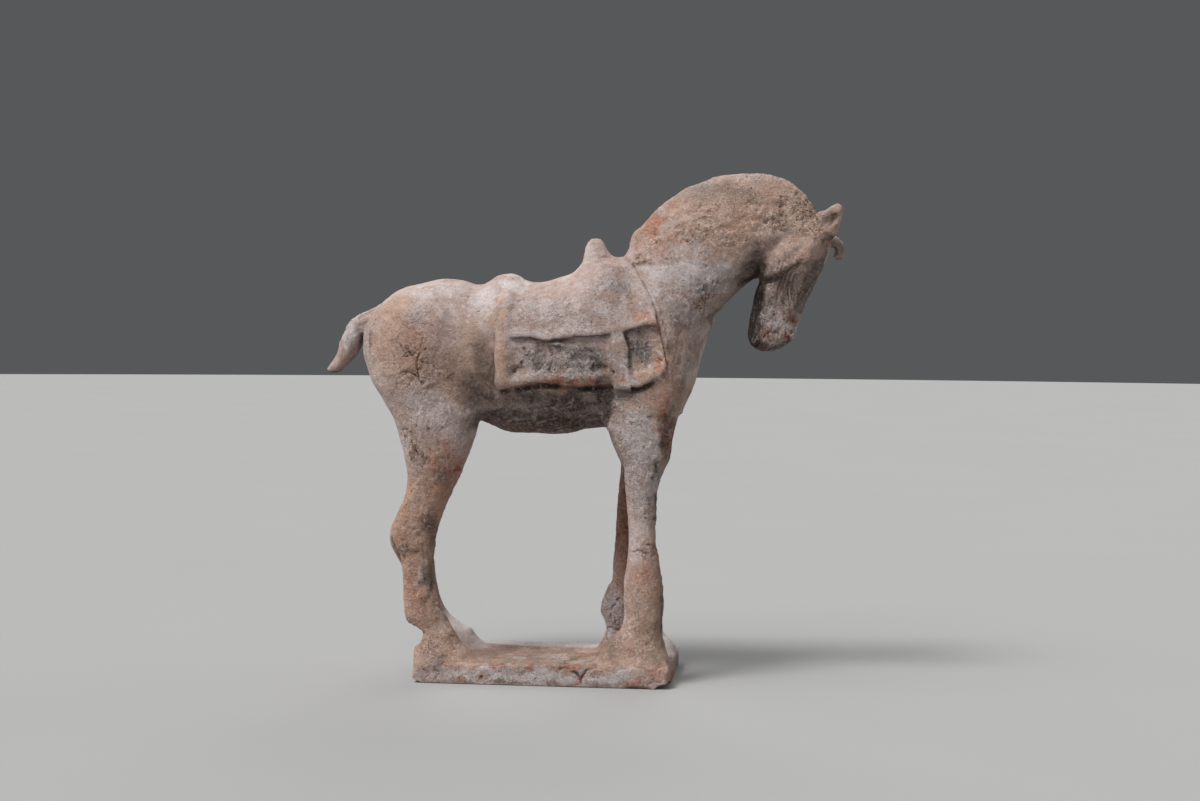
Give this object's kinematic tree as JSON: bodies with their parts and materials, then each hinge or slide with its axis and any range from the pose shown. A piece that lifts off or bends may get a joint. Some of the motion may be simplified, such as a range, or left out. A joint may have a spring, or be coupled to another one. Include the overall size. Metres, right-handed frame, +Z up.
{
  "type": "terracotta horse figure",
  "caption": "Standing saddled horse with bowed head, hogged mane and a slab base, fired in terracotta as one piece.",
  "frame": {"origin": "centre of the underside of the slab base", "axes": "+X the way the horse faces, +Z up, -Y the horse's right side"},
  "size_m": [0.3129, 0.087, 0.3001],
  "materials": {
    "terracotta": "unglazed low-fired clay, worn, with pale burial deposit and brown soil crust"
  },
  "bodies": {
    "root": {"terracotta_horse": "terracotta"}
  },
  "joints": []
}
